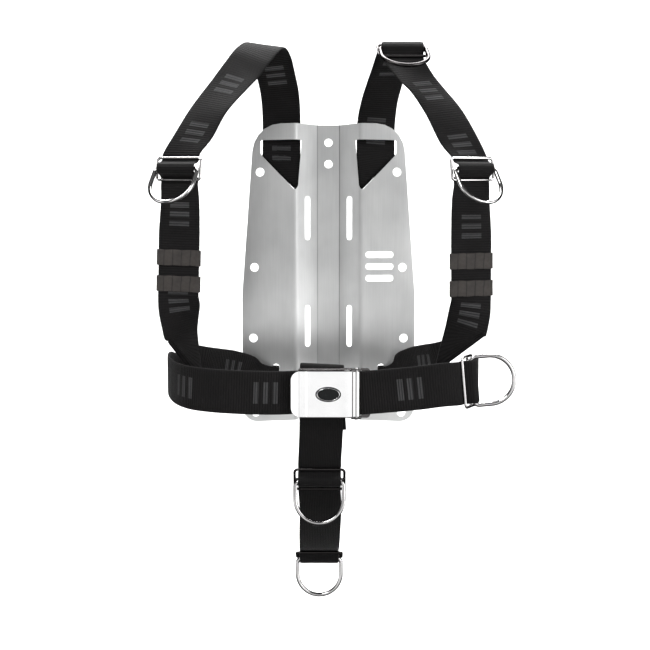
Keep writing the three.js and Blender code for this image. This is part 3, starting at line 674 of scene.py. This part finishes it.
def bolt_passage(piece, z, radius):
    """Melts the round hole through the neck run where the upper tank bolt goes."""
    rings = [[vec(radius * math.cos(a), y, z + radius * math.sin(a)) for a in np.arange(32) * math.pi / 16]
             for y in (-6, 10)]
    cutter = loft("bolt_passage", rings, [BLACK])
    cut = piece.modifiers.new("passage", "BOOLEAN")
    cut.object = cutter
    cut.operation = "DIFFERENCE"
    cut.solver = "FAST"
    bpy.context.view_layer.update()
    mesh = bpy.data.meshes.new_from_object(piece.evaluated_get(bpy.context.evaluated_depsgraph_get()))
    piece.modifiers.remove(cut)
    piece.data = mesh
    bpy.data.objects.remove(cutter)


def marks(*centres):
    """Three woven bars round each centre, as distances along the strap in mm."""
    return [c + k * TICK_PITCH for c in centres for k in (-1, 0, 1)]


HARNESS_MARKS = marks(
    135.9, 237.1, 341, 448, 601, 770.1, 873.1, 988, 1061.5, 1190.4,
    1747.1, 1823, 1936, 2041, 2160, 2275, 2388, 2505, 2622.7)
HARNESS_MARKS += [1289.7, 1302.6, 1504.2, 1518.5, 1532.8, 1602.5, 1618.4]
webbing = strap("harness_webbing", WHOLE, [BLACK, TICKS], HARNESS_MARKS, (1322.5, 1454.5))
bolt_passage(webbing, 139.7, 6.0)
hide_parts("neck_webbing", "left_shoulder_webbing", "right_shoulder_webbing",
            "left_waist_webbing", "right_waist_webbing")
crotch = strap("crotch_webbing", CROTCH, [BLACK_CROTCH], ribs=False)
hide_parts("crotch_strap")


# ---- wire hardware ---------------------------------------------------------------------------
def arc(x, y, radius, start, end, steps):
    angles = np.linspace(start, end, steps + 1)
    return [(x + radius * math.cos(a), y + radius * math.sin(a)) for a in angles]


def wire_loop(name, f, path, diameter, out, material, sides=20):
    rings = []
    for i, p in enumerate(path):
        before, after = np.array(path[i - 1]), np.array(path[(i + 1) % len(path)])
        side = unit(unit(np.array(p) - before) + unit(after - np.array(p)))
        normal = (side[1], -side[0])
        ring = []
        for k in range(sides):
            a = 2 * math.pi * k / sides
            reach, lift = diameter / 2 * math.cos(a), diameter / 2 * math.sin(a)
            ring.append(place(f, p[0] + normal[0] * reach, p[1] + normal[1] * reach, out + lift))
        rings.append(ring)
    return loft(name, rings, [material], closed=True)


def d_ring(name, material):
    f, lean = HARDWARE[name]
    half, reach, c = (RING_WIDTH - RING_WIRE) / 2, RING_DEPTH - RING_WIRE, RING_CORNER
    path = (arc(half - c, c, c, -math.pi / 2, 0, 8) + arc(0, reach - half, half, 0, math.pi, 40)
            + arc(c - half, c, c, -math.pi, -math.pi / 2, 8))
    ring = wire_loop(name + "_ring", turned(f, lean), path, RING_WIRE, 0, material)
    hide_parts(name + "_d_ring")
    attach(ring, name + "_ring")


def slide(name, material):
    f = HARDWARE[name][0]
    w, h, c = (SLIDE_WIDTH - SLIDE_WIRE) / 2, (SLIDE_LENGTH - SLIDE_WIRE) / 2, SLIDE_CORNER
    q = math.pi / 2
    path = (arc(w - c, h - c, c, 0, q, 8) + arc(c - w, h - c, c, q, 2 * q, 8)
            + arc(c - w, c - h, c, 2 * q, 3 * q, 8) + arc(w - c, c - h, c, 3 * q, 4 * q, 8))
    frame_piece = wire_loop(name + "_slide_frame", f, path, SLIDE_WIRE, SLIDE_LIFT, material)
    bar = [[place(f, x, SLIDE_WIRE * 0.48 * math.cos(a), SLIDE_LIFT + SLIDE_WIRE * 0.48 * math.sin(a))
            for a in np.arange(16) * math.pi / 8] for x in (-w, -w / 2, 0, w / 2, w)]
    bar_piece = loft(name + "_slide_bar", bar, [material])
    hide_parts(name + "_slide")
    for piece in (frame_piece, bar_piece):
        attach(piece, "harness")


# painted shade: rings and slides get darkened copies of the chrome
for side in HARDWARE:
    d_ring(side, SHADE_PAINTED_CHROME if side == "right_top" else SHADE_PAINTED_RING)
    slide(side, SHADE_PAINTED_RING if side in ("left_shoulder", "right_shoulder", "hip") else SHADE_PAINTED_CHROME)


# ---- elastic keepers -------------------------------------------------------------------------
BAND_HALF, BAND_WALL = 9.5, 1.5
KEEPERS = {
    "left_upper": ((-178.5, -141.96, 16), (0.99, -0.13, 0), (-0.03, 0.0147, -1)),
    "left_lower": ((-179.43, -141.5, -15), (0.99, -0.13, 0), (-0.03, 0.0147, -1)),
    "right_upper": ((169.48, -141.54, 12), (0.98, 0.18, 0), (0.0145, 0.029, -1)),
    "right_lower": ((169.95, -140.6, -20.5), (0.98, 0.18, 0), (0.0145, 0.029, -1)),
}


def keeper(name, where, seed):
    f = frame_at(*where)
    w, t, c = WEB_WIDTH / 2 + GAP, WEB_THICK / 2 + GAP, 0.9
    q = math.pi / 2
    corners = [(w - c, t - c, 0), (c - w, t - c, q), (c - w, c - t, 2 * q), (w - c, c - t, 3 * q)]
    path = []
    for i, (x, y, start) in enumerate(corners):
        path += [(x + c * math.cos(a), y + c * math.sin(a), math.cos(a), math.sin(a))
                 for a in np.linspace(start, start + q, 6)]
        nx, ny, _ = corners[(i + 1) % 4]
        end = start + q
        if abs(nx - x) > 5:
            path += [(x + (nx - x) * k, y + c * math.sin(end), 0, math.sin(end)) for k in np.arange(1, 30) / 30]
    section = [(0, -0.96), (0.12, -0.995), (0.6, -1), (0.95, -0.95), (1, -0.85), (0.97, -0.3), (1, 0.3), (1, 0.85),
               (0.95, 0.95), (0.6, 1), (0.12, 0.995), (0, 0.96)]
    rings, uvs, run = [], [], 0.0
    for i, (x, y, nx, ny) in enumerate(path):
        if i:
            run += math.hypot(x - path[i - 1][0], y - path[i - 1][1])
        swell = 0.12 * math.sin(x * 0.9 + seed) + 0.1 * math.sin(x * 0.23 + 2 * seed)
        edge = 0.25 * math.sin(x * 0.31 + seed)
        rings.append([place(f, x + nx * g * (BAND_WALL + swell * (g > 0.5)), h * BAND_HALF + edge * (abs(h) > 0.9),
                            y + ny * g * (BAND_WALL + swell * (g > 0.5))) for g, h in section])
        uvs.append([(run * MM, h * BAND_HALF * MM) for _, h in [*section, section[0]]])
    uvs.append(uvs[0])
    piece = loft(name + "_elastic", rings, [RUBBER], closed=True, uv_rings=uvs)
    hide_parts(name + "_band")
    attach(piece, name + "_keeper")


for seed_, (name_, where_) in enumerate(KEEPERS.items()):
    keeper(name_, where_, seed_)


# ---- buckle ----------------------------------------------------------------------------------
PIN_X, PIN_Y = 31.0, -209.4
COVER = {"left": -43.0, "bottom": -163.6, "top": -111.4, "front": -214.0, "thick": 1.6, "corner": 10.0}


def buckle_cover():
    """A pressed cover: its free edge turned in a little, its other end rolled round the pin."""
    middle = (COVER["bottom"] + COVER["top"]) / 2
    tall = (COVER["top"] - COVER["bottom"]) / 2
    r = COVER["corner"]
    centre_y = COVER["front"] + COVER["thick"] / 2
    line = []
    for dx in [0, 0.15, 0.5, 1, 2, 3, 4, 5, 6, 7, 7.8, 8.4, 9, 10, 12, 16, 16.7, 17.1, 17.5, 17.9, 18.3,
               19, 30, 45, 60, 67]:
        half = tall - (r - math.sqrt(max(0.0, r * r - (r - dx) ** 2)) if dx < r else 0)
        turn = 0.14 * max(0.0, 8.4 - dx)
        step = 0.35 / (1 + math.exp(-(dx - 17.5) * 4)) - 0.35
        line.append((COVER["left"] + dx, centre_y + turn - step * 0.8, half))
    radius = 3.0
    for k in range(0, 17):
        a = math.radians(-100 + k * 17)
        line.append((PIN_X + radius * math.cos(a), PIN_Y + radius * math.sin(a), tall - 0.5))
    rings = []
    for i, (x, y, half) in enumerate(line):
        before, after = line[max(i - 1, 0)], line[min(i + 1, len(line) - 1)]
        along = unit(np.array([after[0] - before[0], after[1] - before[1]]))
        nx, ny = along[1] * COVER["thick"] / 2, -along[0] * COVER["thick"] / 2
        ring = []
        for g, h in [(1, -0.985), (1, 0.985), (0.7, 0.997), (0, 1), (-0.7, 0.997), (-1, 0.985),
                     (-1, -0.985), (-0.7, -0.997), (0, -1), (0.7, -0.997)]:
            ring.append(vec(x + nx * g, y + ny * g, middle + half * h))
        rings.append(ring)
    piece = loft("buckle_lid", rings, [COVER_CHROME])
    piece.modifiers.new("soft_shading", "EDGE_SPLIT").split_angle = math.radians(35)
    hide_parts("buckle_cover")
    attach(piece, "cover")


def badge_ring():
    """A plain bright line inside the oval badge's edge."""
    rings = []
    for k in range(48):
        a = 2 * math.pi * k / 48
        x, z = -1 + 12.6 * math.cos(a), -137.5 + 6.9 * math.sin(a)
        nx, nz = math.cos(a), math.sin(a)
        rings.append([vec(x + nx * 0.35 * math.cos(b), -215 - 0.12 + 0.2 * math.sin(b), z + nz * 0.35 * math.cos(b))
                      for b in np.arange(8) * math.pi / 4])
    piece = loft("badge_line", rings, [CHROME], closed=True)
    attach(piece, "cover")


buckle_cover()
badge_ring()

# ---- carried-over metal ----------------------------------------------------------------------
# painted shade: the base and the hinge pin get darkened copies of the chrome
CARRIED = {"backplate": (STEEL, 0.45), "buckle_base": (SHADE_PAINTED_BASE, 0.3), "buckle_hinge_pin": (SHADE_PAINTED_RING, 0.2),
           "buckle_badge": (ENAMEL, 0.15)}
for node, (material_, width_) in CARRIED.items():
    obj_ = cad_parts[node]
    obj_.data.materials.clear()
    obj_.data.materials.append(material_)
    bevel = obj_.modifiers.new("edge", "BEVEL")
    bevel.width = width_ * MM
    bevel.segments = 2
    bevel.limit_method = "ANGLE"
    bevel.angle_limit = math.radians(50)
    bevel.use_clamp_overlap = True


# ---- studio ----------------------------------------------------------------------------------
def stage_material():
    k = Nodes("studio_paper")
    k.shade("Base Color", k.mix(k.ramp(k.noise(k.place(), 3), [(0.3, 0.0), (0.7, 1.0)]), (0.93, 0.93, 0.93),
                                (0.95, 0.95, 0.95)))
    k.shade("Roughness", 0.9)
    return k.m


sweep = [(-6000, -900), (1200, -900), *[(1200 + 900 * math.sin(a), -900 * math.cos(a))
                                       for a in np.linspace(0.1, math.pi / 2, 14)], (2100, 6000)]
points_ = [(x, y, z) for y, z in sweep for x in (-6000, 6000)]
faces_ = [(2 * i, 2 * i + 1, 2 * i + 3, 2 * i + 2) for i in range(len(sweep) - 1)]
floor = add_mesh("studio_sweep", points_, faces_, [stage_material()])
floor.visible_glossy = False
floor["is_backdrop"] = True


def area(name, location, target, size, power):
    data = bpy.data.lights.new(name, "AREA")
    data.shape = "RECTANGLE"
    data.size, data.size_y = size
    data.energy = power
    lamp = bpy.data.objects.new(name, data)
    bpy.context.scene.collection.objects.link(lamp)
    lamp.location = location
    lamp.rotation_euler = (Vector(target) - Vector(location)).to_track_quat("-Z", "Y").to_euler()


area("key", (-0.9, -1.6, 1.7), (0, 0, 0), (1.0, 1.0), 26)
area("fill", (1.4, -1.3, 0.5), (0, 0, 0), (0.8, 1.4), 12)
area("backdrop", (0, 0.7, 2.4), (0, 1.7, -0.4), (3.0, 1.0), 110)
area("floor", (0, 0.3, 1.6), (0, 0.5, -0.9), (2.0, 1.0), 45)

world = bpy.data.worlds.new("studio")
bpy.context.scene.world = world
world.use_nodes = True
tree = world.node_tree
background = tree.nodes["Background"]
coords = tree.nodes.new("ShaderNodeTexCoord")
axes = tree.nodes.new("ShaderNodeSeparateXYZ")
tree.links.new(coords.outputs["Generated"], axes.inputs[0])

def world_math(op, a, b=0.0, clamp=False):
    n = tree.nodes.new("ShaderNodeMath")
    n.operation = op
    n.use_clamp = clamp
    for socket, value in ((n.inputs[0], a), (n.inputs[1], b)):
        if hasattr(value, "is_linked"):
            tree.links.new(value, socket)
        else:
            socket.default_value = value
    return n.outputs[0]


def world_ramp(fac, stops):
    n = tree.nodes.new("ShaderNodeValToRGB")
    tree.links.new(fac, n.inputs[0])
    while len(n.color_ramp.elements) < len(stops):
        n.color_ramp.elements.new(0.5)
    for element, (position, value) in zip(n.color_ramp.elements, stops):
        element.position = position
        element.color = (value, value, value, 1)
    return n.outputs[0]


# a grey room in front, a bright card at each side with dark gaps between, darkness above and behind
across = world_ramp(world_math("MULTIPLY", world_math("ADD", axes.outputs["X"], 1), 0.5), [
    (0.0, 0.85), (0.06, 0.85), (0.12, 0.1), (0.2, 0.12), (0.28, 0.7), (0.42, 0.5), (0.5, 0.42), (0.58, 0.5),
    (0.72, 0.7), (0.8, 0.12), (0.86, 0.12), (0.93, 1.25), (1.0, 1.25)])
height = world_ramp(world_math("MULTIPLY", world_math("ADD", axes.outputs["Z"], 1), 0.5), [
    (0.15, 0.06), (0.27, 0.3), (0.36, 1.02), (0.46, 1.3), (0.5, 0.66), (0.62, 0.6), (0.72, 0.2), (0.85, 0.1)])
front = world_math("MULTIPLY", world_math("ADD", world_math("MULTIPLY", axes.outputs["Y"], -1), 0.02), 5.0, True)
level = world_math("ADD", world_math("MULTIPLY", world_math("MULTIPLY", across, height), front), 0.015)
level = world_math("MULTIPLY", level, 2.0)
tree.links.new(level, background.inputs["Color"])
background.inputs["Strength"].default_value = 1.0

view = bpy.context.scene.view_settings
view.view_transform = "Standard"
view.look = "None"

camera_data = bpy.data.cameras.new("camera")
camera_data.lens = 52.6
camera_data.sensor_width = 36
camera = bpy.data.objects.new("camera", camera_data)
camera.location = (-0.0046, -1.275, 0.018)
camera.rotation_euler = (math.radians(90 - 4.154), 0, 0)
bpy.context.scene.collection.objects.link(camera)
bpy.context.scene.camera = camera

size = [[list(corner) for corner in bounds_] for bounds_ in (loaded_bounds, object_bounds())]
